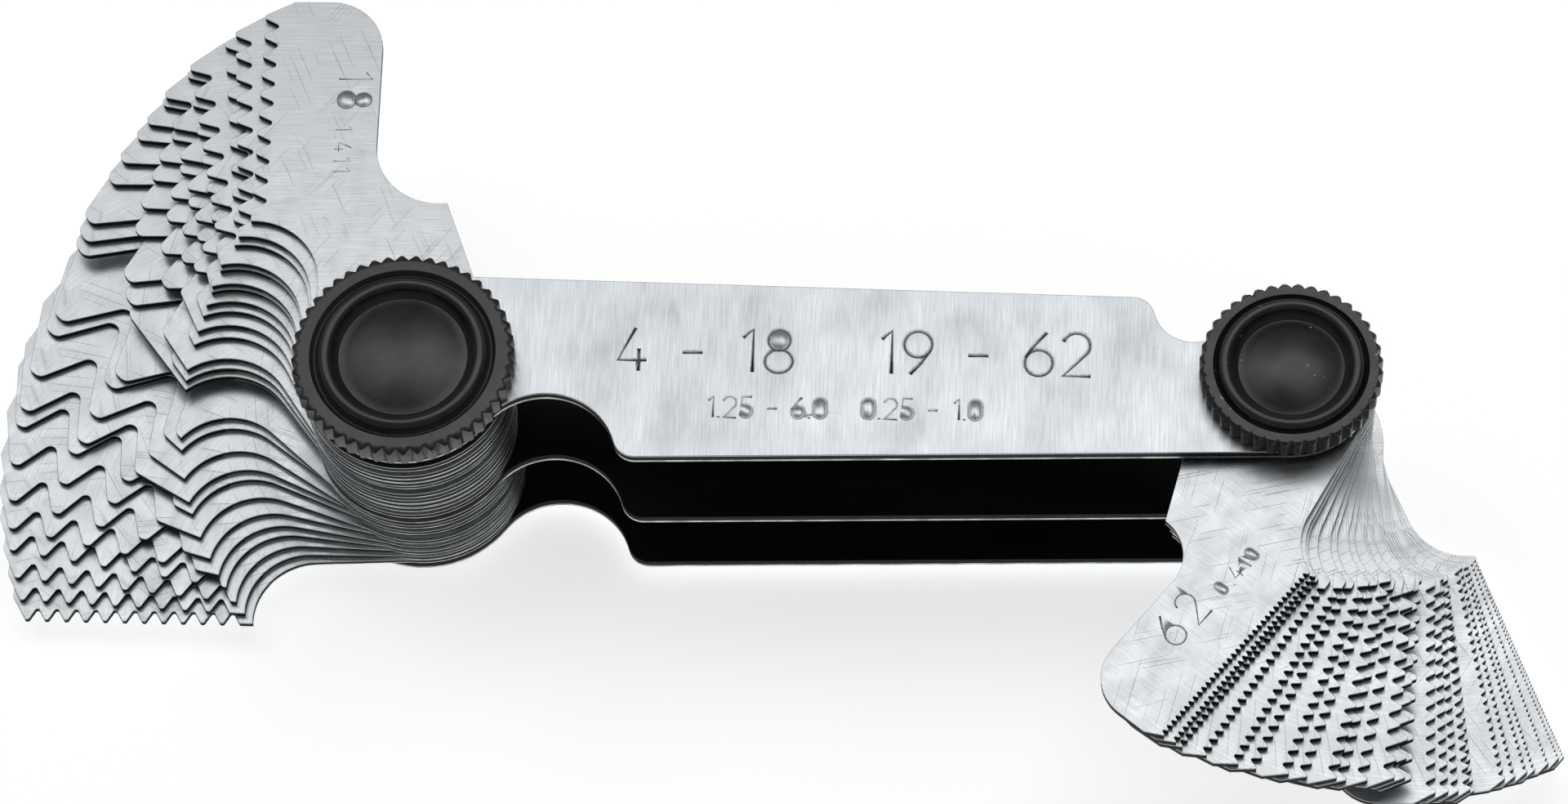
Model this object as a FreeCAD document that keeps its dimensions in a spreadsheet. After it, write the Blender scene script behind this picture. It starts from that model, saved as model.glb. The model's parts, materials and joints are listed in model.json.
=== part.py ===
import FreeCAD, Part
import math
import os

import Sketcher
from FreeCAD import Placement, Rotation, Vector

# Folding thread pitch gauge. Three plates are stacked with two compartments between them,
# inch blades in the upper one and metric blades in the lower one. Coarse blades turn on the
# large post, fine blades on the small post, and a ribbed knob over each post clamps its stack.
#
# Origin: on the large post's axis, at the underside of its head. +X runs to the small post,
# +Z runs up through the stack to the knobs. A blade's own frame has its bore at the origin,
# u along its teeth and v towards them, and its angle is that of u from +X.

SIZES = {
    # stack, from the bottom up
    "pivot_spacing": 55.0,
    "head_thickness": 1.0,
    "plate_thickness": 0.8,
    "metric_thickness": 0.45,
    "inch_thickness": 0.5,
    "washer_thickness": 0.42,
    "gap": 0.03,
    # plates
    "large_end": 6.4,
    "small_end": 5.2,
    "large_notch": 4.5,
    "large_notch_x": 8.9,
    "small_notch": 2.5,
    "small_notch_x": 49.0,
    "notch_corner": 1.4,
    # posts and washers
    "barrel": 2.3,
    "running_gap": 0.05,
    "large_head": 5.2,
    "small_head": 4.3,
    "washer": 4.5,
    "barrel_recess": 0.1,
    # knobs
    "knob_height": 2.0,
    "knob_shoulder": 1.5,
    "knob_foot": 0.3,
    "rim_top": 1.72,
    "rim_width": 0.6,
    "groove_floor": 1.35,
    "crest_foot": 1.65,
    "crest_half_width": 0.42,
    "dish_floor": 1.2,
    "dome_top": 1.95,
    "large_knob": 6.95,
    "large_rim": 6.4,
    "large_crest": 4.85,
    "large_ribs": 48,
    "small_knob": 5.66,
    "small_rim": 5.4,
    "small_crest": 4.1,
    "small_ribs": 40,
    "rib_depth": 0.38,
    "rib_land": 0.1,
    "stud": 1.3,
    "stud_length": 9.0,
    # thread forms: a flank's angle from v, and parts of the pitch
    "inch_flank": 27.5,
    "metric_flank": 30.0,
    "crest_flat": 0.02,
    "tooth_round": 0.12,
    # ends of the row of teeth
    "first_land": 0.4,
    "widest_half_tooth": 3.0,
    "tight_corner": 2.2,
    "gap_lid": 0.5,
    "side_relief": 0.04,
}

# Blank of each family, in the blade's own frame: distance of the two sides of the round end
# from the bore's axis, teeth line, end face, centre and radius of the neck arc, back edge and
# its corner, heel and foot arc.
BLANK = ("sides", "tip", "end", "neck_u", "neck_v", "neck",
         "back", "corner", "heel_u", "heel_drop", "foot")
BLANKS = {
    "coarse_inch": (6.0, 10.5, 26.8, 6.5, 10.35, 4.35, 2.8, 3.5, 12.2, 1.92, 4.2),
    "coarse_metric": (6.35, 11.1, 25.9, 6.4, 10.7, 4.0, 2.8, 3.0, 12.2, 1.92, 4.2),
    "fine_inch": (5.2, 8.9, 23.85, 5.6, 10.2, 3.8, 2.85, 3.0, 12.1, 0.1, 2.95),
    "fine_metric": (6.0, 9.35, 24.4, 5.4, 10.2, 3.85, 2.85, 3.0, 12.1, 0.1, 2.95),
}

# Blades of each fan from the top of its stack down: threads per inch, or pitch, the angle at
# which the blade stands at rest, and the radius of its round end. The round ends are punched
# unevenly, so some stand back in the stack.
FANS = {
    "coarse_inch": [
        (18, 90.4, 6.5), (16, 94.8, 6.1), (14, 96.5, 6.52), (13, 101.9, 6.5),
        (12, 102.5, 6.5), (11, 106.3, 6.4), (10, 106.9, 6.1), (9, 109.8, 6.5),
        (8, 111.9, 6.2), (7, 115.3, 6.42), (6, 118.1, 6.43), (5, 124.0, 6.45),
        (4.5, 126.0, 6.15), (4, 127.5, 6.4)],
    "coarse_metric": [
        (6.0, 135.1, 6.5), (5.5, 137.6, 6.1), (5.0, 144.3, 6.48), (4.5, 149.8, 6.1),
        (4.0, 152.2, 6.15), (3.5, 157.9, 6.45), (3.0, 163.2, 6.25), (2.5, 167.2, 6.42),
        (2.0, 170.2, 6.5), (1.75, 174.0, 6.3), (1.5, 177.0, 6.42), (1.25, 179.6, 6.42)],
    "fine_inch": [
        (62, 231.3, 5.3), (60, 233.0, 5.32), (48, 233.9, 5.28), (40, 237.3, 5.3),
        (36, 241.8, 5.35), (32, 244.3, 5.25), (30, 248.9, 5.3), (28, 251.5, 5.33),
        (26, 255.7, 5.3), (25, 257.1, 5.26), (24, 260.2, 5.32), (22, 264.2, 5.3),
        (20, 265.8, 5.28), (19, 266.8, 5.32)],
    "fine_metric": [
        (1.0, 269.5, 6.1), (0.9, 271.5, 6.05), (0.8, 273.1, 6.12), (0.75, 275.0, 6.1),
        (0.7, 275.6, 6.08), (0.6, 280.6, 6.1), (0.5, 282.4, 6.15), (0.45, 284.5, 6.06),
        (0.4, 285.9, 6.1), (0.35, 288.4, 6.12), (0.3, 290.4, 6.08), (0.25, 291.4, 6.1)],
}
INCH = 25.4


class Size:
    """A length or count, held as its number and as the expression that gives it."""

    def __init__(self, value, text=None):
        self.value = float(value)
        self.text = text or repr(value)

    def combine(self, other, sign, value):
        return Size(value, "(%s %s %s)" % (self.text, sign, other.text))

    def __add__(self, other):
        other = sized(other)
        return self.combine(other, "+", self.value + other.value)

    def __sub__(self, other):
        other = sized(other)
        return self.combine(other, "-", self.value - other.value)

    def __mul__(self, other):
        other = sized(other)
        return self.combine(other, "*", self.value * other.value)

    def __truediv__(self, other):
        other = sized(other)
        return self.combine(other, "/", self.value / other.value)

    def __neg__(self):
        return Size(-self.value, "(-%s)" % self.text)


def sized(number):
    return number if isinstance(number, Size) else Size(number)


def make_sheet(doc, name, cells):
    """Spreadsheet with a name and a number in each row, and the Size of every cell."""
    sheet = doc.addObject("Spreadsheet::Sheet", name)
    sizes = {}
    for row, (alias, number) in enumerate(cells.items(), start=1):
        sheet.set("A%d" % row, alias)
        sheet.set("B%d" % row, str(number))
        sheet.setAlias("B%d" % row, alias)
        sizes[alias] = Size(number, "%s.%s" % (name, alias))
    doc.recompute()
    return sizes


def bind(obj, path, size):
    obj.setExpression(path, size.text)


def place(obj, x=None, z=None, angle=None):
    """Stand an object at a distance along X, a height and an angle about Z."""
    turn = Rotation(Vector(0, 0, 1), angle.value if angle else 0)
    obj.Placement = Placement(Vector(x.value if x else 0, 0, z.value if z else 0), turn)
    if x:
        bind(obj, "Placement.Base.x", x)
    if z:
        bind(obj, "Placement.Base.z", z)
    if angle:
        bind(obj, "Placement.Rotation.Angle", angle * Size(1, "1 deg"))


def make_body(doc, name):
    body = doc.addObject("PartDesign::Body", name)
    body.Label = name
    return body


def origin_feature(body, role):
    return next(item for item in body.Origin.OriginFeatures if item.Role == role)


class Outline:
    """A sketch of lines and arcs on one of its body's origin planes."""

    def __init__(self, body, name, plane="XY_Plane"):
        self.sketch = body.newObject("Sketcher::SketchObject", name)
        self.sketch.AttachmentSupport = [(origin_feature(body, plane), "")]
        self.sketch.MapMode = "FlatFace"
        self.ends = []

    def line(self, start, finish):
        edge = Part.LineSegment(Vector(*start, 0), Vector(*finish, 0))
        return self.add(edge, (1, 2))

    def arc(self, centre, radius, start, finish):
        """Arc between two angles in degrees, clockwise where the second is the smaller."""
        low, high = sorted((start, finish))
        circle = Part.Circle(Vector(*centre, 0), Vector(0, 0, 1), radius)
        edge = Part.ArcOfCircle(circle, math.radians(low), math.radians(high))
        return self.add(edge, (1, 2) if finish > start else (2, 1))

    def circle(self, x, radius):
        """Circle centred on the X axis."""
        centre = Vector(x.value, 0, 0)
        edge = self.add(Part.Circle(centre, Vector(0, 0, 1), radius.value), None)
        self.point(edge, 3, x, sized(0))
        self.radius(edge, radius)
        return edge

    def add(self, edge, ends):
        self.ends.append(ends)
        return self.sketch.addGeometry(edge, False)

    def constrain(self, kind, *args):
        return self.sketch.addConstraint(Sketcher.Constraint(kind, *args))

    def measure(self, kind, *args):
        """Constraint with a value, the last argument, bound to the sheet."""
        size = args[-1]
        number = math.radians(size.value) if kind == "Angle" else size.value
        index = self.constrain(kind, *args[:-1], number)
        name = "%s_%d" % (kind, index)
        self.sketch.renameConstraint(index, name)
        bind(self.sketch, "Constraints." + name,
             size * Size(1, "1 deg") if kind == "Angle" else size)

    def point(self, edge, which, x=None, y=None):
        """Hold one point of an edge at a distance from the sketch's origin."""
        if x:
            self.measure("DistanceX", -1, 1, edge, which, x)
        if y:
            self.measure("DistanceY", -1, 1, edge, which, y)

    def radius(self, edge, size):
        self.measure("Radius", edge, size)

    def join(self, first, second, smooth=True):
        """Join the far end of one edge to the near end of the next."""
        kind = "Tangent" if smooth else "Coincident"
        self.constrain(kind, first, self.ends[first][1], second, self.ends[second][0])

    def polygon(self, corners):
        """Closed loop of straight lines through corners given as pairs of Size."""
        spots = [(x.value, y.value) for x, y in corners]
        edges = [self.line(a, b) for a, b in zip(spots, spots[1:] + spots[:1])]
        for edge, following in zip(edges, edges[1:] + edges[:1]):
            self.join(edge, following, smooth=False)
        for edge, (x, y) in zip(edges, corners):
            self.point(edge, 1, x, y)


def pad(body, outline, name, thickness):
    feature = body.newObject("PartDesign::Pad", name)
    feature.Profile = outline.sketch
    bind(feature, "Length", thickness)
    return feature


def revolve(body, outline, name):
    feature = body.newObject("PartDesign::Revolution", name)
    feature.Profile = outline.sketch
    feature.ReferenceAxis = (origin_feature(body, "Z_Axis"), [""])
    feature.Angle = 360
    return feature


def cut_through(body, outline, name):
    """Pocket both ways through everything, with a check that it removed material."""
    before = body.Tip
    feature = body.newObject("PartDesign::Pocket", name)
    feature.Profile = outline.sketch
    feature.Type = "ThroughAll"
    feature.Midplane = True
    body.Document.recompute()
    if feature.Shape.Volume >= before.Shape.Volume:
        raise RuntimeError("%s cuts nothing" % name)
    return feature


def polar(angle, radius, centre=(0, 0)):
    turn = math.radians(angle)
    return (centre[0] + radius * math.cos(turn), centre[1] + radius * math.sin(turn))


def heading(start, finish):
    return math.degrees(math.atan2(finish[1] - start[1], finish[0] - start[0])) % 360


def notch_centre(end_centre, end, notch, notch_x, side):
    """Centre of a thumb notch that touches the plate's round end from outside."""
    run = notch_x - end_centre
    return (notch_x, side * math.sqrt((end + notch) ** 2 - run ** 2))


def corner_centre(notch, reach, normal, inset, side):
    """Centre of the corner between a notch and the straight edge with this normal."""
    along = (normal[1], -normal[0]) if normal[1] > 0 else (-normal[1], normal[0])
    offset = notch[0] * normal[0] + notch[1] * normal[1]
    start = notch[0] * along[0] + notch[1] * along[1]
    run = start + side * math.sqrt(reach ** 2 - (inset - offset) ** 2)
    return tuple(inset * n + run * a for n, a in zip(normal, along))


def make_plate(doc, name, size, height):
    """Plate with two round ends, a thumb notch beside each end and a hole for each post."""
    body = make_body(doc, name)
    outline = Outline(body, name + "_outline")
    spacing = size["pivot_spacing"].value
    large, small = size["large_end"].value, size["small_end"].value
    corner = size["notch_corner"].value
    lean = math.degrees(math.asin((large - small) / spacing))
    above, below = polar(90 - lean, 1), polar(lean - 90, 1)

    low = notch_centre(0, large, size["large_notch"].value, size["large_notch_x"].value, -1)
    low_corner = corner_centre(low, size["large_notch"].value + corner, below,
                               large - corner, 1)
    high = notch_centre(spacing, small, size["small_notch"].value,
                        size["small_notch_x"].value, 1)
    high_corner = corner_centre(high, size["small_notch"].value + corner, above,
                                large - corner, -1)
    far = (spacing, 0)

    large_arc = outline.arc((0, 0), large, 90 - lean, heading((0, 0), low))
    low_arc = outline.arc(low, size["large_notch"].value, heading(low, (0, 0)),
                          heading(low, low_corner))
    low_turn = outline.arc(low_corner, corner, heading(low_corner, low), 270 + lean)
    lower_edge = outline.line(polar(lean - 90, corner, low_corner),
                              polar(lean - 90, small, far))
    small_arc = outline.arc(far, small, lean - 90, heading(far, high))
    high_arc = outline.arc(high, size["small_notch"].value, heading(high, far),
                           heading(high, high_corner))
    high_turn = outline.arc(high_corner, corner, heading(high_corner, high) - 360, 90 - lean)
    upper_edge = outline.line(polar(90 - lean, corner, high_corner),
                              polar(90 - lean, large))

    loop = [large_arc, low_arc, low_turn, lower_edge, small_arc, high_arc, high_turn,
            upper_edge]
    for edge, following in zip(loop, loop[1:] + loop[:1]):
        outline.join(edge, following)
    outline.constrain("Tangent", lower_edge, large_arc)
    outline.constrain("Tangent", upper_edge, small_arc)
    outline.constrain("Coincident", large_arc, 3, -1, 1)
    outline.point(small_arc, 3, size["pivot_spacing"], sized(0))
    outline.radius(large_arc, size["large_end"])
    outline.radius(small_arc, size["small_end"])
    outline.radius(low_arc, size["large_notch"])
    outline.radius(high_arc, size["small_notch"])
    outline.radius(low_turn, size["notch_corner"])
    outline.radius(high_turn, size["notch_corner"])
    outline.point(low_arc, 3, x=size["large_notch_x"])
    outline.point(high_arc, 3, x=size["small_notch_x"])
    hole = size["barrel"] + size["running_gap"]
    outline.circle(sized(0), hole)
    outline.circle(size["pivot_spacing"], hole)
    pad(body, outline, name + "_sheet", size["plate_thickness"])
    place(body, z=height)
    return body


def make_post(doc, name, size, head, x, top):
    """Barrel with a flat head below the bottom plate, bored from the top for the stud."""
    body = make_body(doc, name)
    outline = Outline(body, name + "_section", "XZ_Plane")
    bore = size["stud"] + size["running_gap"]
    floor = top - size["stud_length"] - size["barrel_recess"]
    nothing = sized(0)
    outline.polygon([(nothing, nothing), (head, nothing), (head, size["head_thickness"]),
                     (size["barrel"], size["head_thickness"]), (size["barrel"], top),
                     (bore, top), (bore, floor), (nothing, floor)])
    revolve(body, outline, name + "_turning")
    place(body, x=x)
    return body


def make_washers(doc, name, size, height):
    """Two identical friction washers, one round each post, in one group."""
    rings = []
    for end, x in (("large", None), ("small", size["pivot_spacing"])):
        disc = doc.addObject("Part::Cylinder", end + "_washer_disc")
        hole = doc.addObject("Part::Cylinder", end + "_washer_hole")
        bind(disc, "Radius", size["washer"])
        bind(hole, "Radius", size["barrel"] + size["running_gap"])
        for cylinder in (disc, hole):
            bind(cylinder, "Height", size["washer_thickness"])
        ring = doc.addObject("Part::Cut", end + "_washer")
        ring.Base = disc
        ring.Tool = hole
        place(ring, x=x)
        rings.append(ring)
    group = doc.addObject("Part::Compound", name)
    group.Label = name
    group.Links = rings
    place(group, z=height)
    return group


def make_knob(doc, name, size, end, x, height):
    """Ribbed knob with a raised ring round a shallow domed dish, and its stud below."""
    body = make_body(doc, name)
    tip, rim, crest = (size["%s_%s" % (end, key)] for key in ("knob", "rim", "crest"))
    half = size["crest_half_width"]
    rise = size["knob_height"] - size["crest_foot"]
    bowl = crest - half * 2
    bulge = size["dome_top"] - size["dish_floor"]
    rim_inside = rim - size["rim_width"]
    nothing = sized(0)
    corners = [(nothing, size["dome_top"]), (nothing, -size["stud_length"]),
               (size["stud"], -size["stud_length"]), (size["stud"], nothing),
               (tip - size["knob_foot"], nothing), (tip, size["knob_foot"]),
               (tip, size["knob_shoulder"]), (rim, size["rim_top"]),
               (rim_inside, size["rim_top"]),
               ((rim_inside + crest + half) / 2, size["groove_floor"]),
               (crest + half, size["crest_foot"]), (crest - half, size["crest_foot"]),
               (bowl, size["dish_floor"])]
    spots = [(a.value, b.value) for a, b in corners]
    crest_radius = (half * half + rise * rise) / (rise * 2)
    spread = math.degrees(math.asin(half.value / crest_radius.value))
    crest_centre = (crest.value, size["knob_height"].value - crest_radius.value)
    dome_radius = (bowl.value ** 2 + bulge.value ** 2) / (2 * bulge.value)
    dome_side = 90 - math.degrees(math.asin(bowl.value / dome_radius))

    outline = Outline(body, name + "_section", "XZ_Plane")
    edges = [outline.line(a, b) for a, b in zip(spots[:10], spots[1:11])]
    crest_arc = outline.arc(crest_centre, crest_radius.value, 90 - spread, 90 + spread)
    dish_line = outline.line(spots[11], spots[12])
    dome = outline.arc((0, size["dome_top"].value - dome_radius), dome_radius, dome_side, 90)
    edges += [crest_arc, dish_line, dome]
    for edge, following in zip(edges, edges[1:] + edges[:1]):
        outline.join(edge, following, smooth=False)
    for edge, (a, b) in zip(edges, corners):
        outline.point(edge, outline.ends[edge][0], a, b)
    outline.radius(crest_arc, crest_radius)
    outline.constrain("PointOnObject", dome, 3, -2)
    revolve(body, outline, name + "_turning")
    doc.recompute()

    ribs = size[end + "_ribs"]
    valley = Outline(body, name + "_valley")
    width = tip * Size(math.pi, "pi") / ribs
    over = tip + size["rib_land"]
    valley.polygon([(tip - size["rib_depth"], nothing), (over, -width), (over, width)])
    pocket = cut_through(body, valley, name + "_rib_cut")
    pattern = body.newObject("PartDesign::PolarPattern", name + "_ribs")
    pattern.Originals = [pocket]
    pattern.Axis = (origin_feature(body, "Z_Axis"), [""])
    pattern.Angle = 360
    bind(pattern, "Occurrences", ribs)
    body.Tip = pattern
    place(body, x=x, z=height)
    return body


def leave_round_end(turn, sides, round_end, target):
    """Point where a side of the round end, at this turn, leaves its arc towards a target."""
    foot = polar(turn, sides)
    ahead = math.radians(heading(foot, target))
    run = math.sqrt(round_end ** 2 - sides ** 2)
    return (foot[0] + run * math.cos(ahead), foot[1] + run * math.sin(ahead))


def make_blade(doc, name, size, blank, round_end, pitch, flank, thickness):
    """Blade with a bore in its round end and a row of rounded teeth along one edge."""
    body = make_body(doc, name)
    outline = Outline(body, name + "_outline")
    lean = flank.value
    ball = size["tooth_round"] * pitch
    half_tooth = pitch / 2
    if half_tooth.value > size["widest_half_tooth"].value:
        half_tooth = size["widest_half_tooth"]
    crest = blank["end"] - size["first_land"] - half_tooth
    flat = size["crest_flat"] * pitch
    corner = blank["corner"] if pitch.value < 4.4 else size["tight_corner"]
    sides = blank["sides"]
    if sides.value > round_end.value - size["side_relief"].value:
        sides = round_end - size["side_relief"]

    tip, back, end = blank["tip"].value, blank["back"].value, blank["end"].value
    ball_centre = (crest.value + flat.value, tip - ball.value)
    touch = polar(lean, ball.value, ball_centre)
    chamfer = (end, touch[1] - (end - touch[0]) / math.tan(math.radians(lean)))
    neck = (blank["neck_u"].value, blank["neck_v"].value)
    neck_radius = blank["neck"].value
    neck_start = math.degrees(math.asin((tip - neck[1]) / neck_radius))
    span = math.hypot(*neck)
    rise = heading((0, 0), neck) + math.degrees(
        math.acos((sides.value + neck_radius) / span))
    heel = (blank["heel_u"].value, -blank["heel_drop"].value)
    foot = blank["foot"].value
    foot_y = back - foot
    foot_centre = (heel[0] + math.sqrt(foot ** 2 - (heel[1] - foot_y) ** 2), foot_y)
    heel_turn = heading((0, 0), heel) - 360 - math.degrees(
        math.acos(sides.value / math.hypot(*heel)))
    neck_touch = polar(rise - 180, neck_radius, neck)
    neck_leave = leave_round_end(rise, sides.value, round_end.value, neck_touch)
    heel_leave = leave_round_end(heel_turn, sides.value, round_end.value, heel)

    side = outline.line(heel_leave, heel)
    foot_arc = outline.arc(foot_centre, foot, heading(foot_centre, heel), 90)
    back_line = outline.line((foot_centre[0], back), (end - corner.value, back))
    corner_arc = outline.arc((end - corner.value, back + corner.value), corner.value, -90, 0)
    end_line = outline.line((end, back + corner.value), chamfer)
    chamfer_line = outline.line(chamfer, touch)
    crest_arc = outline.arc(ball_centre, ball.value, lean, 90)
    tip_line = outline.line((ball_centre[0], tip), polar(neck_start, neck_radius, neck))
    neck_arc = outline.arc(neck, neck_radius, neck_start, rise - 180)
    neck_line = outline.line(neck_touch, neck_leave)
    round_arc = outline.arc((0, 0), round_end.value, heading((0, 0), neck_leave),
                            heading((0, 0), heel_leave))

    loop = [side, foot_arc, back_line, corner_arc, end_line, chamfer_line, crest_arc,
            tip_line, neck_arc, neck_line, round_arc]
    sharp = (side, end_line, tip_line, neck_line, round_arc)
    for edge, following in zip(loop, loop[1:] + loop[:1]):
        outline.join(edge, following, smooth=edge not in sharp)
    outline.constrain("Horizontal", back_line)
    outline.constrain("Vertical", end_line)
    outline.constrain("Horizontal", tip_line)
    outline.point(side, 2, blank["heel_u"], -blank["heel_drop"])
    outline.radius(foot_arc, blank["foot"])
    outline.point(back_line, 2, y=blank["back"])
    outline.radius(corner_arc, corner)
    outline.point(end_line, 2, x=blank["end"])
    outline.measure("Angle", chamfer_line, sized(90) + flank)
    outline.radius(crest_arc, ball)
    outline.point(crest_arc, 3, x=crest + flat)
    outline.point(tip_line, 1, y=blank["tip"])
    outline.point(neck_arc, 3, blank["neck_u"], blank["neck_v"])
    outline.radius(neck_arc, blank["neck"])
    outline.constrain("Coincident", round_arc, 3, -1, 1)
    outline.radius(round_arc, round_end)
    outline.measure("Distance", -1, 1, side, sides)
    outline.measure("Distance", -1, 1, neck_line, sides)
    outline.circle(sized(0), size["barrel"] + size["running_gap"])
    pad(body, outline, name + "_sheet", thickness)
    doc.recompute()

    neck_edge = polar(neck_start, neck_radius, neck)[0]
    count = int((crest.value - neck_edge) / pitch.value)
    gap = make_gap(body, name + "_gap", size, blank, pitch, flank, crest)
    pocket = cut_through(body, gap, name + "_gap_cut")
    if count > 1:
        pattern = body.newObject("PartDesign::LinearPattern", name + "_teeth")
        pattern.Originals = [pocket]
        pattern.Direction = (origin_feature(body, "X_Axis"), [""])
        pattern.Reversed = True
        pattern.Occurrences = count
        bind(pattern, "Length", pitch * (count - 1))
        body.Tip = pattern
    return body


def make_gap(body, name, size, blank, pitch, flank, crest):
    """Space between the first two teeth: two flanks, a rounded root and half of each crest."""
    outline = Outline(body, name)
    lean = flank.value
    turn = math.radians(lean)
    ball = size["tooth_round"] * pitch
    flat = size["crest_flat"] * pitch
    tip = blank["tip"]
    lid = tip + size["gap_lid"]
    left = crest - pitch + flat
    right = crest - flat
    reach = (right.value - left.value) / 2 * math.cos(turn)
    depth = (reach - 2 * ball.value * (1 - math.sin(turn))) / math.sin(turn)
    middle = (left.value + right.value) / 2
    left_ball = (left.value, tip.value - ball.value)
    right_ball = (right.value, tip.value - ball.value)
    root_ball = (middle, tip.value - depth + ball.value)

    left_crest = outline.arc(left_ball, ball.value, 90, lean)
    left_flank = outline.line(polar(lean, ball.value, left_ball),
                              polar(180 + lean, ball.value, root_ball))
    root = outline.arc(root_ball, ball.value, 180 + lean, 360 - lean)
    right_flank = outline.line(polar(-lean, ball.value, root_ball),
                               polar(180 - lean, ball.value, right_ball))
    right_crest = outline.arc(right_ball, ball.value, 180 - lean, 90)
    right_riser = outline.line((right.value, tip.value), (right.value, lid.value))
    cover = outline.line((right.value, lid.value), (left.value, lid.value))
    left_riser = outline.line((left.value, lid.value), (left.value, tip.value))

    loop = [left_crest, left_flank, root, right_flank, right_crest, right_riser, cover,
            left_riser]
    for place_in_loop, (edge, following) in enumerate(zip(loop, loop[1:] + loop[:1])):
        outline.join(edge, following, smooth=place_in_loop < 4)
    outline.radius(root, ball)
    outline.constrain("Equal", root, left_crest)
    outline.constrain("Equal", root, right_crest)
    outline.measure("Angle", left_flank, flank - 90)
    outline.measure("Angle", right_flank, sized(90) - flank)
    outline.point(left_crest, 3, x=left)
    outline.point(right_crest, 3, x=right)
    outline.point(left_riser, 2, left, tip)
    outline.point(right_riser, 1, right, tip)
    outline.constrain("Vertical", left_riser)
    outline.constrain("Vertical", right_riser)
    outline.point(cover, 1, y=lid)
    outline.constrain("Horizontal", cover)
    return outline


def blade_name(family, number):
    kind = "inch" if family.endswith("inch") else "metric"
    return "%s_blade_%s" % (kind, str(number).replace(".", "_"))


def make_fan(doc, family, size, blanks, blades, floor):
    """All the blades of one fan, the first of the list on top of its stack."""
    inch = family.endswith("inch")
    thickness = size["inch_thickness" if inch else "metric_thickness"]
    flank = size["inch_flank" if inch else "metric_flank"]
    blank = {key: blanks["%s_%s" % (family, key)] for key in BLANK}
    x = size["pivot_spacing"] if family.startswith("fine") else None
    made = []
    for level, (number, _, _) in enumerate(reversed(FANS[family])):
        name = blade_name(family, number)
        pitch = Size(INCH) / blades[name + "_number"] if inch else blades[name + "_number"]
        body = make_blade(doc, name, size, blank, blades[name + "_round_end"], pitch, flank,
                          thickness)
        place(body, x, floor + (thickness + size["gap"]) * level, blades[name + "_angle"])
        made.append(body)
    return made


def check(doc, parts):
    doc.recompute()
    for item in doc.Objects:
        if {"Invalid", "Error"} & set(item.State):
            raise RuntimeError("%s: %s" % (item.Name, item.State))
        if item.isDerivedFrom("Sketcher::SketchObject") and not item.FullyConstrained:
            raise RuntimeError("%s is not fully constrained" % item.Name)
    for item in parts:
        if item.Shape.isNull() or not item.Shape.isValid() or not item.Shape.Solids:
            raise RuntimeError("%s has no sound shape" % item.Label)


def main():
    doc = FreeCAD.newDocument("thread_pitch_gauge")
    size = make_sheet(doc, "Sizes", SIZES)
    blanks = make_sheet(doc, "Blanks", {
        "%s_%s" % (family, key): number
        for family, numbers in BLANKS.items() for key, number in zip(BLANK, numbers)})
    blades = {}
    for family, fan in FANS.items():
        for number, angle, round_end in fan:
            name = blade_name(family, number)
            blades[name + "_number"] = number
            blades[name + "_angle"] = angle
            blades[name + "_round_end"] = round_end
    blades = make_sheet(doc, "Blades", blades)

    gap = size["gap"]
    metric_step = size["metric_thickness"] + gap
    inch_step = size["inch_thickness"] + gap
    bottom = size["head_thickness"]
    lower_fans = bottom + size["plate_thickness"] + gap
    middle = lower_fans + metric_step * len(FANS["coarse_metric"])
    upper_fans = middle + size["plate_thickness"] + gap
    washers = upper_fans + inch_step * len(FANS["coarse_inch"])
    top = washers + size["washer_thickness"] + gap
    knobs = top + size["plate_thickness"] + gap
    post_top = knobs - size["barrel_recess"]

    parts = [make_plate(doc, "bottom_plate", size, bottom),
             make_plate(doc, "middle_plate", size, middle),
             make_plate(doc, "top_plate", size, top),
             make_post(doc, "large_post", size, size["large_head"], None, post_top),
             make_post(doc, "small_post", size, size["small_head"], size["pivot_spacing"],
                       post_top),
             make_washers(doc, "friction_washers", size, washers),
             make_knob(doc, "large_knob", size, "large", None, knobs),
             make_knob(doc, "small_knob", size, "small", size["pivot_spacing"], knobs)]
    for family in FANS:
        floor = upper_fans if family.endswith("inch") else lower_fans
        parts += make_fan(doc, family, size, blanks, blades, floor)

    check(doc, parts)
    os.makedirs("parts", exist_ok=True)
    for item in parts:
        item.Shape.exportStep("parts/%s.step" % item.Label)
    print("%d parts written" % len(parts))


main()
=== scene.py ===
import json
import math

import bmesh
import bpy
from mathutils import Matrix, Vector


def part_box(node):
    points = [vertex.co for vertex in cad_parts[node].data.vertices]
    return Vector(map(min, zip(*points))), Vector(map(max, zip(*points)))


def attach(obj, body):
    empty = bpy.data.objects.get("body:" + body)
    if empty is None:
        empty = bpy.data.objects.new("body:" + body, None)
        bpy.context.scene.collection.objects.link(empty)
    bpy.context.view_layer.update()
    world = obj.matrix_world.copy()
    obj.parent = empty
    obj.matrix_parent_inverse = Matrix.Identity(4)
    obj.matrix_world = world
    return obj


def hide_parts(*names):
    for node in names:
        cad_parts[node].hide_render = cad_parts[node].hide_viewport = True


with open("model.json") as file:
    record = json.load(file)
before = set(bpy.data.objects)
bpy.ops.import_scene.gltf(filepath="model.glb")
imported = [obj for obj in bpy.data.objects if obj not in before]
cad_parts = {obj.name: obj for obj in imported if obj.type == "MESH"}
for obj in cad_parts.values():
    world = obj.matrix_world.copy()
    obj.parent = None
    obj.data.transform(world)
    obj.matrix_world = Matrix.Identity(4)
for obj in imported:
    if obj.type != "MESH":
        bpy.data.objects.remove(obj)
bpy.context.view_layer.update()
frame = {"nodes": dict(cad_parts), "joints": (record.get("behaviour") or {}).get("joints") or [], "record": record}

mm = 0.001  # every size below is in millimetres and is turned to metres where it is used


# Small helpers

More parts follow.
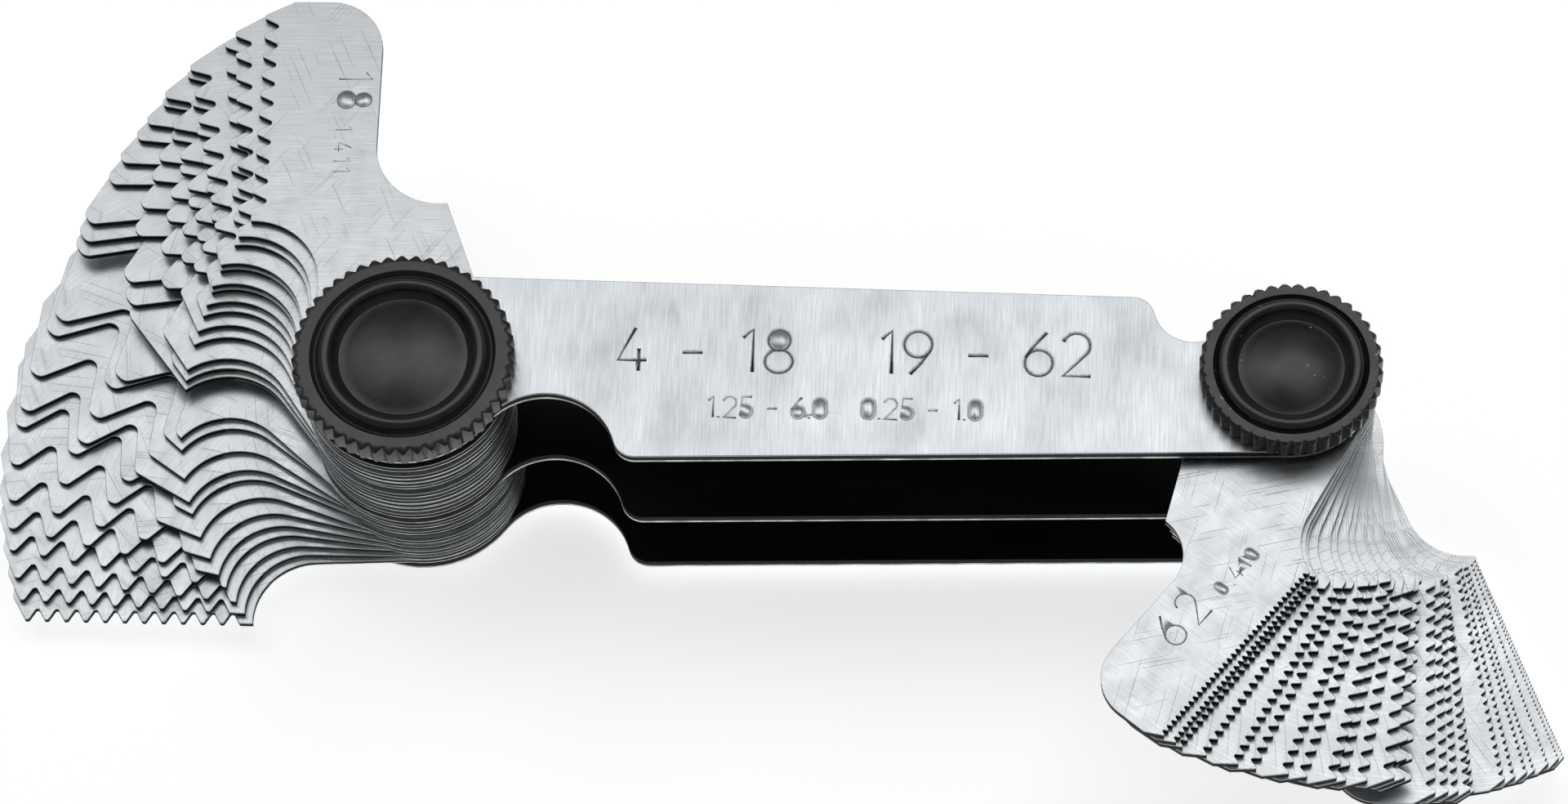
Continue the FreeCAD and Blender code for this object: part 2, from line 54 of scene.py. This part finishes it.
def linear(hexColour):
    # sRGB hex to the linear colour that shader sockets take
    channels = [int(hexColour[i:i + 2], 16) / 255 for i in (1, 3, 5)]
    return [c / 12.92 if c <= 0.04045 else ((c + 0.055) / 1.055) ** 2.4 for c in channels] + [1]


def addNode(tree, kind, links={}, **settings):
    # links: input name or number -> a value, or an output of another node
    node = tree.nodes.new(kind)
    for name, value in settings.items():
        setattr(node, name, value)
    for key, value in links.items():
        if isinstance(value, bpy.types.NodeSocket):
            tree.links.new(value, node.inputs[key])
        else:
            node.inputs[key].default_value = value
    return node


def newMaterial(name):
    material = bpy.data.materials.new(name)
    material.use_nodes = True
    tree = material.node_tree
    tree.nodes.clear()
    return material, tree


def finishSurface(tree, colour, roughness, bump=None, **fixed):
    # a Principled shader with its output; fixed holds numbers for its own sockets
    shader = addNode(tree, "ShaderNodeBsdfPrincipled", {"Base Color": colour, "Roughness": roughness})
    for name, value in fixed.items():
        shader.inputs[name.replace("_", " ")].default_value = value
    if bump:
        tree.links.new(bump, shader.inputs["Normal"])
    addNode(tree, "ShaderNodeOutputMaterial", {"Surface": shader.outputs[0]})


def newMesh(name, bm):
    mesh = bpy.data.meshes.new(name)
    bm.to_mesh(mesh)
    bm.free()
    piece = bpy.data.objects.new(name, mesh)
    bpy.context.scene.collection.objects.link(piece)
    return piece


# Camera

cameraSet = dict(lens=150, sensor=36, place=(45.39, -181.96, 378.74), tilt=26.39, yaw=3.43, roll=2.22)


def makeCamera():
    data = bpy.data.cameras.new("camera")
    data.lens = cameraSet["lens"]
    data.sensor_width = cameraSet["sensor"]
    data.clip_start = 0.01
    camera = bpy.data.objects.new("camera", data)
    bpy.context.scene.collection.objects.link(camera)
    turn = (Matrix.Rotation(math.radians(cameraSet["yaw"]), 4, "Y")
            @ Matrix.Rotation(math.radians(cameraSet["tilt"]), 4, "X")
            @ Matrix.Rotation(math.radians(cameraSet["roll"]), 4, "Z"))
    camera.matrix_world = Matrix.Translation(Vector(cameraSet["place"]) * mm) @ turn
    bpy.context.scene.camera = camera


makeCamera()
print("camera set")


# Studio: one softbox high behind the gauge, a weak fill on the left, a dim room

studioSet = dict(
    floorColour="#F4F4F2", floorSize=4000, floorDrop=0.05, floorGlow=0.66,
    skyColour="#FFFFFF", skyStrength=0.16,
    boxAt=(115, 150, 430), boxSize=(330, 280), boxGlow=1.3,
    fillAt=(-175, 165, 400), fillSize=(240, 300), fillGlow=1.15,
)


def areaLamp(name, at, size, glow, aim=(20, 0, 10)):
    # glow is the lamp's brightness as a camera would see it, where 1 is white
    data = bpy.data.lights.new(name, "AREA")
    data.shape = "RECTANGLE"
    data.size, data.size_y = size[0] * mm, size[1] * mm
    data.energy = glow * math.pi * data.size * data.size_y
    lamp = bpy.data.objects.new(name, data)
    bpy.context.scene.collection.objects.link(lamp)
    place, target = Vector(at) * mm, Vector(aim) * mm
    lamp.location = place
    lamp.rotation_euler = (target - place).to_track_quat("-Z", "Y").to_euler()


def makeFloor(s):
    # matt white paper; a glow that only sight and mirror rays meet brings it to white
    bm = bmesh.new()
    bmesh.ops.create_grid(bm, x_segments=1, y_segments=1, size=s["floorSize"] * mm / 2)
    bmesh.ops.translate(bm, vec=(0, 0, -s["floorDrop"] * mm), verts=bm.verts)
    floor = newMesh("floor", bm)
    paper, tree = newMaterial("matt white paper")
    shader = addNode(tree, "ShaderNodeBsdfPrincipled",
                     {"Base Color": linear(s["floorColour"]), "Roughness": 0.9})
    rays = addNode(tree, "ShaderNodeLightPath")
    seen = addNode(tree, "ShaderNodeMath", {0: rays.outputs["Is Camera Ray"],
                                            1: rays.outputs["Is Glossy Ray"]}, operation="ADD")
    seen = addNode(tree, "ShaderNodeMath", {0: seen.outputs[0],
                                            1: rays.outputs["Is Transmission Ray"]}, operation="ADD")
    lift = addNode(tree, "ShaderNodeMath", {0: seen.outputs[0], 1: s["floorGlow"]},
                   operation="MULTIPLY")
    glow = addNode(tree, "ShaderNodeEmission", {"Strength": lift.outputs[0]})
    both = addNode(tree, "ShaderNodeAddShader", {0: shader.outputs[0], 1: glow.outputs[0]})
    addNode(tree, "ShaderNodeOutputMaterial", {"Surface": both.outputs[0]})
    floor.data.materials.append(paper)


def makeStudio(s):
    makeFloor(s)
    world = bpy.data.worlds.new("studio")
    bpy.context.scene.world = world
    world.use_nodes = True
    sky = world.node_tree
    sky.nodes.clear()
    glow = addNode(sky, "ShaderNodeBackground",
                   {"Color": linear(s["skyColour"]), "Strength": s["skyStrength"]})
    addNode(sky, "ShaderNodeOutputWorld", {"Surface": glow.outputs[0]})
    areaLamp("softbox", s["boxAt"], s["boxSize"], s["boxGlow"])
    areaLamp("fill", s["fillAt"], s["fillSize"], s["fillGlow"])
    bpy.context.scene.view_settings.view_transform = "Standard"


makeStudio(studioSet)
print("studio lit")


# Finishes

def patternAt(tree, size, turn=0, centre=(0, 0, 0)):
    # object coordinates about a centre, turned, and divided by a pattern's size in mm
    place = addNode(tree, "ShaderNodeTexCoord")
    return addNode(tree, "ShaderNodeMapping", {
        "Vector": place.outputs["Object"], "Location": Vector(centre) * mm,
        "Rotation": (0, 0, math.radians(turn)), "Scale": Vector(size) * mm},
        vector_type="TEXTURE").outputs[0]


def noise(tree, place, detail=2.0, roughness=0.5):
    return addNode(tree, "ShaderNodeTexNoise",
                   {"Vector": place, "Scale": 1.0, "Detail": detail, "Roughness": roughness}).outputs[0]


def spread(tree, value, low, high, toLow=0.0, toHigh=1.0):
    return addNode(tree, "ShaderNodeMapRange", {
        "Value": value, "From Min": low, "From Max": high, "To Min": toLow, "To Max": toHigh}).outputs[0]


def tint(tree, fac, first, second):
    mix = addNode(tree, "ShaderNodeMix", {"Factor": fac}, data_type="RGBA")
    for key, colour in ((6, first), (7, second)):
        if isinstance(colour, bpy.types.NodeSocket):
            tree.links.new(colour, mix.inputs[key])
        else:
            mix.inputs[key].default_value = linear(colour)
    return mix.outputs[2]


def bumps(tree, layers):
    # layers: (height, depth in mm at full height), laid one on the other
    normal = None
    for height, depth in layers:
        links = {"Height": height, "Strength": 1.0, "Distance": depth * mm}
        if normal:
            links["Normal"] = normal
        normal = addNode(tree, "ShaderNodeBump", links).outputs[0]
    return normal


middling = (0.3, 0.7)  # the part of a noise's range where most of it lies

coverSet = dict(pale="#E6EAEE", deep="#C9CED3", stain="#AEB3B8", roughness=(0.30, 0.44),
                streak=(0.09, 2.6, 1), fine=(0.05, 0.9, 1), mottle=(3.5, 6, 1), wave=(16, 12, 6),
                stained=(0.56, 0.74, 0, 0.18), waveDepth=0.016, streakDepth=0.0016,
                fineDepth=0.0009)


def brushedSteel(name, s):
    # cold-rolled steel, belt-brushed across its length and lightly oiled: short upright
    # streaks over a soft mottle, pale grey with a cool cast
    material, tree = newMaterial(name)
    streak = noise(tree, patternAt(tree, s["streak"]), 3, 0.6)
    fine = noise(tree, patternAt(tree, s["fine"]), 2, 0.6)
    mottle = noise(tree, patternAt(tree, s["mottle"]), 4, 0.6)
    wave = noise(tree, patternAt(tree, s["wave"]), 0)
    body = tint(tree, spread(tree, streak, *middling), s["deep"], s["pale"])
    body = tint(tree, spread(tree, mottle, *s["stained"]), body, s["stain"])
    rough = spread(tree, mottle, *middling, *s["roughness"])
    layers = [(wave, s["waveDepth"]), (streak, s["streakDepth"]), (fine, s["fineDepth"])]
    finishSurface(tree, body, rough, bumps(tree, layers), Metallic=1)
    return material


bladeSet = dict(pale="#E3E7EA", deep="#C6CACD", pit="#3A3B3C", roughness=(0.28, 0.42),
                grain=(2.4, 0.07, 1), speck=(0.16, 0.16, 1), mottle=(2.2, 1.6, 1), wave=(13, 9, 5),
                scratch=(5, 0.05, 1), pits=(0.22, 0.22, 1), scratchTurn=(24, -38),
                scratched=(0.76, 0.8), scratchTint=0.4, specked=(0.54, 0.74, 0, 0.35),
                pitted=(0.8, 0.84), waveDepth=0.022, grainDepth=0.0012, speckDepth=0.0011,
                scratchDepth=0.004)


def groundSteel(name, s, turn, centre):
    # spring-steel sheet, ground after hardening: fine lines across the blade, tiny specks
    # and a few pits, and stray scratches from the neighbours that slide over it
    material, tree = newMaterial(name)
    grain = noise(tree, patternAt(tree, s["grain"], turn + 90, centre), 3, 0.6)
    speck = noise(tree, patternAt(tree, s["speck"], turn, centre), 2, 0.7)
    mottle = noise(tree, patternAt(tree, s["mottle"], turn, centre), 4, 0.6)
    wave = noise(tree, patternAt(tree, s["wave"], turn, centre), 0)
    pits = noise(tree, patternAt(tree, s["pits"], turn, centre), 1, 0.5)
    body = tint(tree, spread(tree, grain, *middling), s["deep"], s["pale"])
    body = tint(tree, spread(tree, speck, *s["specked"]), body, s["deep"])
    body = tint(tree, spread(tree, pits, *s["pitted"]), body, s["pit"])
    layers = [(wave, s["waveDepth"]), (grain, s["grainDepth"]), (speck, s["speckDepth"])]
    for lean in s["scratchTurn"]:
        line = noise(tree, patternAt(tree, s["scratch"], turn + lean, centre), 0)
        layers.append((spread(tree, line, *s["scratched"]), -s["scratchDepth"]))
        body = tint(tree, spread(tree, line, *s["scratched"], 0, s["scratchTint"]), body, s["pit"])
    rough = spread(tree, mottle, *middling, *s["roughness"])
    finishSurface(tree, body, rough, bumps(tree, layers), Metallic=1)
    return material


# near-black colours of the painted shade inside the compartments
paintedShadeSet = dict(shadeBlack="#070707", worn="#1B1B1B", haze="#101010", roughness=(0.45, 0.7),
               cloud=(7, 2.2, 1), grit=(0.3, 0.3, 0.3), rub=(9, 0.12, 1), hazed=(0.35, 0.7),
               rubbed=(0.6, 0.78, 0, 0.6), gritDepth=0.004, rubDepth=0.002)


def paintedShadeFinish(name, s):
    # painted shade for the compartments' faces: a near-black sheet standing in for the shade between the plates,
    # with a dull drag along it
    material, tree = newMaterial(name)
    cloud = noise(tree, patternAt(tree, s["cloud"]), 4, 0.6)
    grit = noise(tree, patternAt(tree, s["grit"]), 2, 0.6)
    rub = noise(tree, patternAt(tree, s["rub"]), 2, 0.6)
    body = tint(tree, spread(tree, cloud, *s["hazed"]), s["shadeBlack"], s["haze"])
    body = tint(tree, spread(tree, rub, *s["rubbed"]), body, s["worn"])
    rough = spread(tree, cloud, *middling, *s["roughness"])
    finishSurface(tree, body, rough, bumps(tree, [(grit, s["gritDepth"]), (rub, s["rubDepth"])]),
                  Metallic=0.0, Specular_IOR_Level=0.25)
    return material


# near-black colours of the painted shade on the walls of plates and blades
wallShadeSet = dict(dark="#0B0B0C", grey="#4A4B4C", roughness=(0.5, 0.75), tear=(0.35, 0.35, 0.12),
               drag=(0.05, 0.05, 0.5), torn=(0.5, 0.72, 0, 0.8), tearDepth=0.02, dragDepth=0.006)


def paintedWallShade(name, s):
    # painted shade on the walls: a rough torn edge, coloured near black to stand in for the shade on the sides
    # that face away from the light, greyer in random patches
    material, tree = newMaterial(name)
    tear = noise(tree, patternAt(tree, s["tear"]), 3, 0.65)
    drag = noise(tree, patternAt(tree, s["drag"]), 2, 0.6)
    body = tint(tree, spread(tree, tear, *s["torn"]), s["dark"], s["grey"])
    rough = spread(tree, tear, *middling, *s["roughness"])
    finishSurface(tree, body, rough, bumps(tree, [(tear, s["tearDepth"]), (drag, s["dragDepth"])]),
                  Metallic=0.0, Specular_IOR_Level=0.2)
    return material


burnishSet = dict(dull="#8F9193", bright="#D9DBDC", roughness=(0.25, 0.45), drag=(0.08, 0.08, 0.6),
                  patch=(1.6, 1.6, 1.6), polished=(0.35, 0.65), dragDepth=0.003)


def burnishedEdge(name, s):
    # the smooth lower part of a punched edge, where the die has polished it: a bright line
    material, tree = newMaterial(name)
    drag = noise(tree, patternAt(tree, s["drag"]), 2, 0.6)
    patch = noise(tree, patternAt(tree, s["patch"]), 3, 0.6)
    body = tint(tree, spread(tree, patch, *s["polished"]), s["dull"], s["bright"])
    finishSurface(tree, body, spread(tree, drag, *middling, *s["roughness"]),
                  bumps(tree, [(drag, s["dragDepth"])]), Metallic=1)
    return material


knobSet = dict(black="#090A0A", grey="#3F4040", bright="#B9BBBC", roughness=(0.30, 0.42),
               cloud=(1.6, 1.6, 1.6), scratch=(2.2, 0.05, 1), nick=(0.5, 0.5, 0.35),
               ringScale=1.447, clouded=(0.45, 0.8, 0, 0.25), nickStep=0.03, nickTint=0.8,
               scratches=((31, 0.77, 0.8), (-52, 0.79, 0.82)), scratchTint=0.35,
               ringDepth=0.0006, cloudDepth=0.004)
axial = (1, 1, 1e6)  # stretched without end along the axis, so that rings stay upright


def blackOxide(name, s, centre, worn):
    # turned steel, blacked in a salt bath: satin black, faint lathe rings, pale where the
    # fingers have worn the crests of the ribs
    material, tree = newMaterial(name)
    cloud = noise(tree, patternAt(tree, s["cloud"], 0, centre), 3, 0.6)
    rings = addNode(tree, "ShaderNodeTexWave", {
        "Vector": patternAt(tree, axial, 0, centre), "Scale": s["ringScale"],
        "Distortion": 0.3, "Detail": 1.0}, wave_type="RINGS", rings_direction="Z").outputs[1]
    nick = noise(tree, patternAt(tree, s["nick"], 0, centre), 2, 0.6)
    body = tint(tree, spread(tree, cloud, *s["clouded"]), s["black"], s["grey"])
    for turn, low, high in s["scratches"]:
        line = noise(tree, patternAt(tree, s["scratch"], turn, centre), 0)
        body = tint(tree, spread(tree, line, low, high, 0, s["scratchTint"]), body, s["grey"])
    bare = spread(tree, nick, worn, worn + s["nickStep"], 0, s["nickTint"])
    body = tint(tree, bare, body, s["bright"])
    rough = spread(tree, cloud, *middling, *s["roughness"])
    finishSurface(tree, body, rough, bumps(tree, [(rings, s["ringDepth"]), (cloud, s["cloudDepth"])]),
                  Metallic=0.0, Specular_IOR_Level=0.85)
    return material


postSet = dict(dull="#8C8E90", bright="#B7BABC", roughness=(0.24, 0.38), cloud=(1.5, 1.5, 1.5),
               ringScale=1.4, clouded=(0.35, 0.7), ringed=(0.2, 0.8), ringDepth=0.0015,
               cloudDepth=0.003)


def turnedSteel(name, s, centre):
    # bar steel faced off on a lathe: bright rings round the axis under a film of oil
    material, tree = newMaterial(name)
    rings = addNode(tree, "ShaderNodeTexWave", {
        "Vector": patternAt(tree, axial, 0, centre), "Scale": s["ringScale"], "Distortion": 0.4,
        "Detail": 2.0}, wave_type="RINGS", rings_direction="Z").outputs[1]
    cloud = noise(tree, patternAt(tree, s["cloud"], 0, centre), 4, 0.6)
    body = tint(tree, spread(tree, cloud, *s["clouded"]), s["dull"], s["bright"])
    finishSurface(tree, body, spread(tree, rings, *s["ringed"], *s["roughness"]),
                  bumps(tree, [(rings, s["ringDepth"]), (cloud, s["cloudDepth"])]), Metallic=1)
    return material


grooveSet = dict(lip="#D4D7DA", floor="#202122", dirt="#2A2B2C", dirtSize=(0.25, 0.25, 0.25),
                 dirty=(0.5, 0.75, 0, 0.5), lipShare=0.15, roughness=0.4)


def stampedGroove(name, s, top, depth):
    # pressed metal, bright at the lip and darker towards the bottom, with dark flecks of dirt
    material, tree = newMaterial(name)
    place = addNode(tree, "ShaderNodeTexCoord")
    height = addNode(tree, "ShaderNodeSeparateXYZ", {0: place.outputs["Object"]}).outputs[2]
    dirt = noise(tree, patternAt(tree, s["dirtSize"]), 2, 0.6)
    rise = spread(tree, height, (top - depth) * mm, (top - depth * s["lipShare"]) * mm)
    body = tint(tree, rise, s["floor"], s["lip"])
    body = tint(tree, spread(tree, dirt, *s["dirty"]), body, s["dirt"])
    finishSurface(tree, body, s["roughness"], Metallic=1)
    return material


# Numbers: strokes of a single-line hand, pressed in as V grooves

def arc(x, y, wide, tall, start, finish, steps=9):
    turns = [math.radians(start + (finish - start) * k / steps) for k in range(steps + 1)]
    return [(x + wide * math.cos(t), y + tall * math.sin(t)) for t in turns]


def ring(x, y, wide, tall):
    # the last of the 18 steps is the spline's own, which closes it
    return arc(x, y, wide, tall, 0, 340, 17) + ["closed"]


# each figure: its width and its strokes, for a height of 1
figures = {
    "0": (0.6, [arc(0.3, 0.7, 0.3, 0.3, 0, 180) + arc(0.3, 0.3, 0.3, 0.3, 180, 360) + ["closed"]]),
    "1": (0.36, [[(0.08, 0.8), (0.3, 1), (0.3, 0)]]),
    "2": (0.6, [arc(0.3, 0.71, 0.28, 0.29, 165, -35) + [(0.02, 0), (0.6, 0)]]),
    "3": (0.58, [arc(0.28, 0.76, 0.25, 0.24, 150, -80) + arc(0.28, 0.27, 0.29, 0.27, 75, -150)]),
    "4": (0.62, [[(0.36, 1), (0.02, 0.26), (0.62, 0.26)], [(0.45, 0.52), (0.45, 0)]]),
    "5": (0.6, [[(0.54, 1), (0.12, 1), (0.07, 0.55)] + arc(0.29, 0.32, 0.3, 0.32, 118, -145)]),
    "6": (0.6, [[(0.46, 1), (0.22, 0.72), (0.05, 0.45)], ring(0.3, 0.3, 0.29, 0.3)]),
    "7": (0.58, [[(0.02, 1), (0.58, 1), (0.22, 0)]]),
    "8": (0.6, [ring(0.3, 0.76, 0.23, 0.24), ring(0.3, 0.27, 0.29, 0.27)]),
    "9": (0.6, [[(0.14, 0), (0.38, 0.28), (0.55, 0.55)], ring(0.3, 0.7, 0.29, 0.3)]),
    ".": (0.12, [[(0.06, -0.02), (0.06, 0.06)]]),
    "-": (0.5, [[(0.04, 0.45), (0.46, 0.45)]]),
    " ": (0.34, []),
}


def writeNumbers(text, height, gap, place):
    # strokes of a line of figures, taken from their own plane to the part by a matrix
    strokes = []
    run = 0.0
    for letter in text:
        width, lines = figures[letter]
        for line in lines:
            points = [place @ Vector(((run + p[0]) * height, p[1] * height, 0))
                      for p in line if p != "closed"]
            strokes.append((points, line[-1] == "closed"))
        run += width + gap
    return strokes


def grooveCutters(strokes, halfWidth):
    # a four-sided bar along each stroke, its lower edge the bottom of a V groove
    cutters = []
    for points, closed in strokes:
        data = bpy.data.curves.new("stroke", "CURVE")
        data.dimensions = "3D"
        data.twist_mode = "Z_UP"
        data.bevel_depth = halfWidth * mm
        data.bevel_resolution = 0
        data.use_fill_caps = True
        spline = data.splines.new("POLY")
        spline.points.add(len(points) - 1)
        for spot, point in zip(spline.points, points):
            spot.co = (*(point * mm), 1)
        spline.use_cyclic_u = closed
        curve = bpy.data.objects.new("stroke", data)
        cutters.append(bpy.data.objects.new("stroke", bpy.data.meshes.new_from_object(curve)))
        bpy.data.objects.remove(curve)
    return cutters


# Pieces

bodyOf = {node: body for body, nodes in frame["record"]["behaviour"]["bodies"].items()
          for node in nodes}


def standsFor(piece, node):
    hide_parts(node)
    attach(piece, bodyOf[node])


copySet = dict(same=0.0005, flat=0.4, sharp=35, creased=40)  # mm apart, then degrees


def softCopy(node, edge):
    # a copy of a CAD node, its triangles merged into whole faces and its edges rounded
    bm = bmesh.new()
    bm.from_mesh(frame["nodes"][node].data)
    bmesh.ops.remove_doubles(bm, verts=bm.verts, dist=copySet["same"] * mm)
    bmesh.ops.dissolve_limit(bm, angle_limit=math.radians(copySet["flat"]),
                             verts=bm.verts, edges=bm.edges)
    edges = [e for e in bm.edges if e.calc_face_angle(0) > math.radians(copySet["sharp"])]
    bmesh.ops.bevel(bm, geom=edges, offset=edge * mm, segments=2, profile=0.5,
                    affect="EDGES", material=-1, clamp_overlap=False)
    return bm


def splitWalls(bm, height):
    # a ring of edges round the walls at a height, where the burnished part ends
    bmesh.ops.bisect_plane(bm, geom=bm.verts[:] + bm.edges[:] + bm.faces[:],
                           plane_co=(0, 0, height * mm), plane_no=(0, 0, 1))


def layFinishes(bm, pick):
    # pick gives the number of the material slot from a face's normal and its middle in mm
    for face in bm.faces:
        face.material_index = pick(face.normal, face.calc_center_median() / mm)


def isWall(normal):
    return abs(normal.z) < 0.3


def smoothPiece(piece):
    piece.data.shade_smooth()
    piece.data.set_sharp_from_angle(angle=math.radians(copySet["creased"]))
    even = piece.modifiers.new("even faces", "WEIGHTED_NORMAL")
    even.keep_sharp = True
    even.weight = 100


def cutNumbers(piece, cutters, slotIndex):
    # every stroke cuts at once; the grooves take the piece's material slot with this number
    stamps = bpy.data.collections.new("stamps")
    bpy.context.scene.collection.children.link(stamps)
    for cutter in cutters:
        stamps.objects.link(cutter)
        for face in cutter.data.polygons:
            face.material_index = slotIndex
    cut = piece.modifiers.new("stamp", "BOOLEAN")
    cut.operation = "DIFFERENCE"
    cut.solver = "EXACT"
    cut.operand_type = "COLLECTION"
    cut.collection = stamps
    seen = piece.evaluated_get(bpy.context.evaluated_depsgraph_get())
    stamped = bpy.data.meshes.new_from_object(seen)
    piece.modifiers.clear()
    piece.data = stamped
    for cutter in cutters:
        bpy.data.objects.remove(cutter)
    bpy.data.collections.remove(stamps)


# Plates

plateSet = dict(edge=0.06, burnish=0.26,
                bigLine="4 - 18   19 - 62", bigAt=(13.2, -0.15), bigHeight=3.0, bigGap=0.18,
                smallLine="1.25 - 6.0   0.25 - 1.0", smallAt=(18.9, -3.3), smallHeight=1.45,
                smallGap=0.11, bigGroove=0.17, smallGroove=0.11)

coverSteel = brushedSteel("brushed cold-rolled steel", coverSet)
# painted shade for the faces inside the compartments and for the upper part of the plates' walls
paintedShadeSteel = paintedShadeFinish("painted shade between the plates", paintedShadeSet)
plateWallShade = paintedWallShade("painted shade on plate walls", wallShadeSet)
brightEdge = burnishedEdge("burnished edge", burnishSet)


def makePlate(node, topInShade, underInShade):
    low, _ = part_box(node)
    burnishTop = low.z / mm + plateSet["burnish"]
    bm = softCopy(node, plateSet["edge"])
    splitWalls(bm, burnishTop)

    def pick(normal, middle):
        # walls: painted shade above the burnished band; faces inside the compartments: the painted shade sheet
        if isWall(normal):
            return 3 if middle.z < burnishTop else 2
        return 1 if (topInShade if normal.z > 0 else underInShade) else 0

    layFinishes(bm, pick)
    piece = newMesh(node + "_sheet", bm)
    for material in (coverSteel, paintedShadeSteel, plateWallShade, brightEdge):
        piece.data.materials.append(material)
    standsFor(piece, node)
    return piece


def stampCover(piece):
    s = plateSet
    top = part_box("top_plate")[1].z / mm
    piece.data.materials.append(
        stampedGroove("stamped plate groove", grooveSet, top, s["bigGroove"]))
    cutters = []
    for line, at, height, gap, groove in (
            (s["bigLine"], s["bigAt"], s["bigHeight"], s["bigGap"], s["bigGroove"]),
            (s["smallLine"], s["smallAt"], s["smallHeight"], s["smallGap"], s["smallGroove"])):
        place = Matrix.Translation((*at, top))
        cutters += grooveCutters(writeNumbers(line, height, gap, place), groove)
    cutNumbers(piece, cutters, len(piece.data.materials) - 1)


bottomSheet = makePlate("bottom_plate", topInShade=True, underInShade=False)
middleSheet = makePlate("middle_plate", topInShade=True, underInShade=True)
coverSheet = makePlate("top_plate", topInShade=False, underInShade=True)
stampCover(coverSheet)
for piece in (bottomSheet, middleSheet, coverSheet):
    smoothPiece(piece)
print("plates done")


# Blades

bladeStamp = dict(
    edge=0.04, edgeShare=0.08, burnish=0.13, brightWithin=12.5,
    coarse=dict(pivot=0, folded=-19, numberAt=(21.8, 5.5), height=2.2, small=1.1),
    fine=dict(pivot=55, folded=162, numberAt=(18.3, 5.9), height=2.2, small=1.0),
    gap=0.32, groove=0.085, smallGap=0.5, smallGroove=0.06)

# the blades' walls take painted shade, a little darker than the plates'
bladeWallShade = paintedWallShade("painted shade on blade walls", dict(wallShadeSet, grey="#2B2C2C", torn=(0.5, 0.72, 0, 0.5)))


def bladeFacts(joint):
    # where the blade's pivot is, how it is turned and how long its pitch is
    kind, number = joint["child"].split("_blade_")
    number = number.replace("_", ".")
    family = bladeStamp["coarse" if joint["pos_m"][0] < 0.01 else "fine"]
    pitch = 25.4 / float(number) if kind == "inch" else float(number)
    return dict(kind=kind, number=number, family=family, pitch=pitch,
                angle=family["folded"] - joint["range_deg"][0])


def makeBlade(node, facts):
    s, family = bladeStamp, facts["family"]
    low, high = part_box(node)
    top = high.z / mm
    pivot = Vector((family["pivot"], 0, 0))
    burnishTop = low.z / mm + s["burnish"]
    bm = softCopy(node, min(s["edge"], s["edgeShare"] * facts["pitch"]))
    splitWalls(bm, burnishTop)

    def pick(normal, middle):
        if not isWall(normal):
            return 0
        # walls take the painted shade, except a burnished band low on the walls near the pivot
        near = (middle.xy - pivot.xy).length < s["brightWithin"]
        return 2 if near and middle.z < burnishTop else 1

    layFinishes(bm, pick)
    piece = newMesh(node + "_sheet", bm)
    steel = groundSteel("ground spring steel " + facts["number"], bladeSet, facts["angle"],
                        (pivot.x, 0, top))
    groove = stampedGroove("stamped blade groove", grooveSet, top, s["groove"])
    for material in (steel, bladeWallShade, brightEdge, groove):
        piece.data.materials.append(material)
    standsFor(piece, node)

    blade = Matrix.Translation(pivot) @ Matrix.Rotation(math.radians(facts["angle"]), 4, "Z")
    u, v = family["numberAt"]
    cutters = stampBlade(blade, (u, v, top), facts["number"], family["height"], s["groove"])
    if facts["kind"] == "inch":
        length = sum(figures[letter][0] + s["gap"] for letter in facts["number"])
        u -= length * family["height"] + s["smallGap"]
        cutters += stampBlade(blade, (u, v, top), "%.3f" % facts["pitch"], family["small"],
                              s["smallGroove"])
    cutNumbers(piece, cutters, len(piece.data.materials) - 1)
    smoothPiece(piece)


def stampBlade(blade, at, text, height, groove):
    # figures that run from the blade's end to its pivot, with their tops to its back
    place = blade @ Matrix.Translation(at) @ Matrix.Rotation(math.pi, 4, "Z")
    return grooveCutters(writeNumbers(text, height, bladeStamp["gap"], place), groove)


for joint in frame["joints"]:
    if "_blade_" in joint["child"]:
        makeBlade(joint["child"], bladeFacts(joint))
print("blades done")


# Knobs, posts and washers

fittings = dict(
    large=dict(centre=(0, 0, 0), worn=0.8), small=dict(centre=(55, 0, 0), worn=0.72),
    knobEdge=0.05, headEdge=0.12, washerEdge=0.05)


def makeFitting(node, edge, material):
    piece = newMesh(node + "_turned", softCopy(node, edge))
    piece.data.materials.append(material)
    standsFor(piece, node)
    smoothPiece(piece)


for end in ("large", "small"):
    s = fittings[end]
    makeFitting(end + "_knob", fittings["knobEdge"],
                blackOxide("black oxide " + end, knobSet, s["centre"], s["worn"]))
    makeFitting(end + "_post", fittings["headEdge"],
                turnedSteel("turned steel " + end, postSet, s["centre"]))
# the washers take the painted shade sheet, which darkens the recess under the plates
makeFitting("friction_washers", fittings["washerEdge"], paintedShadeSteel)
print("fittings done")
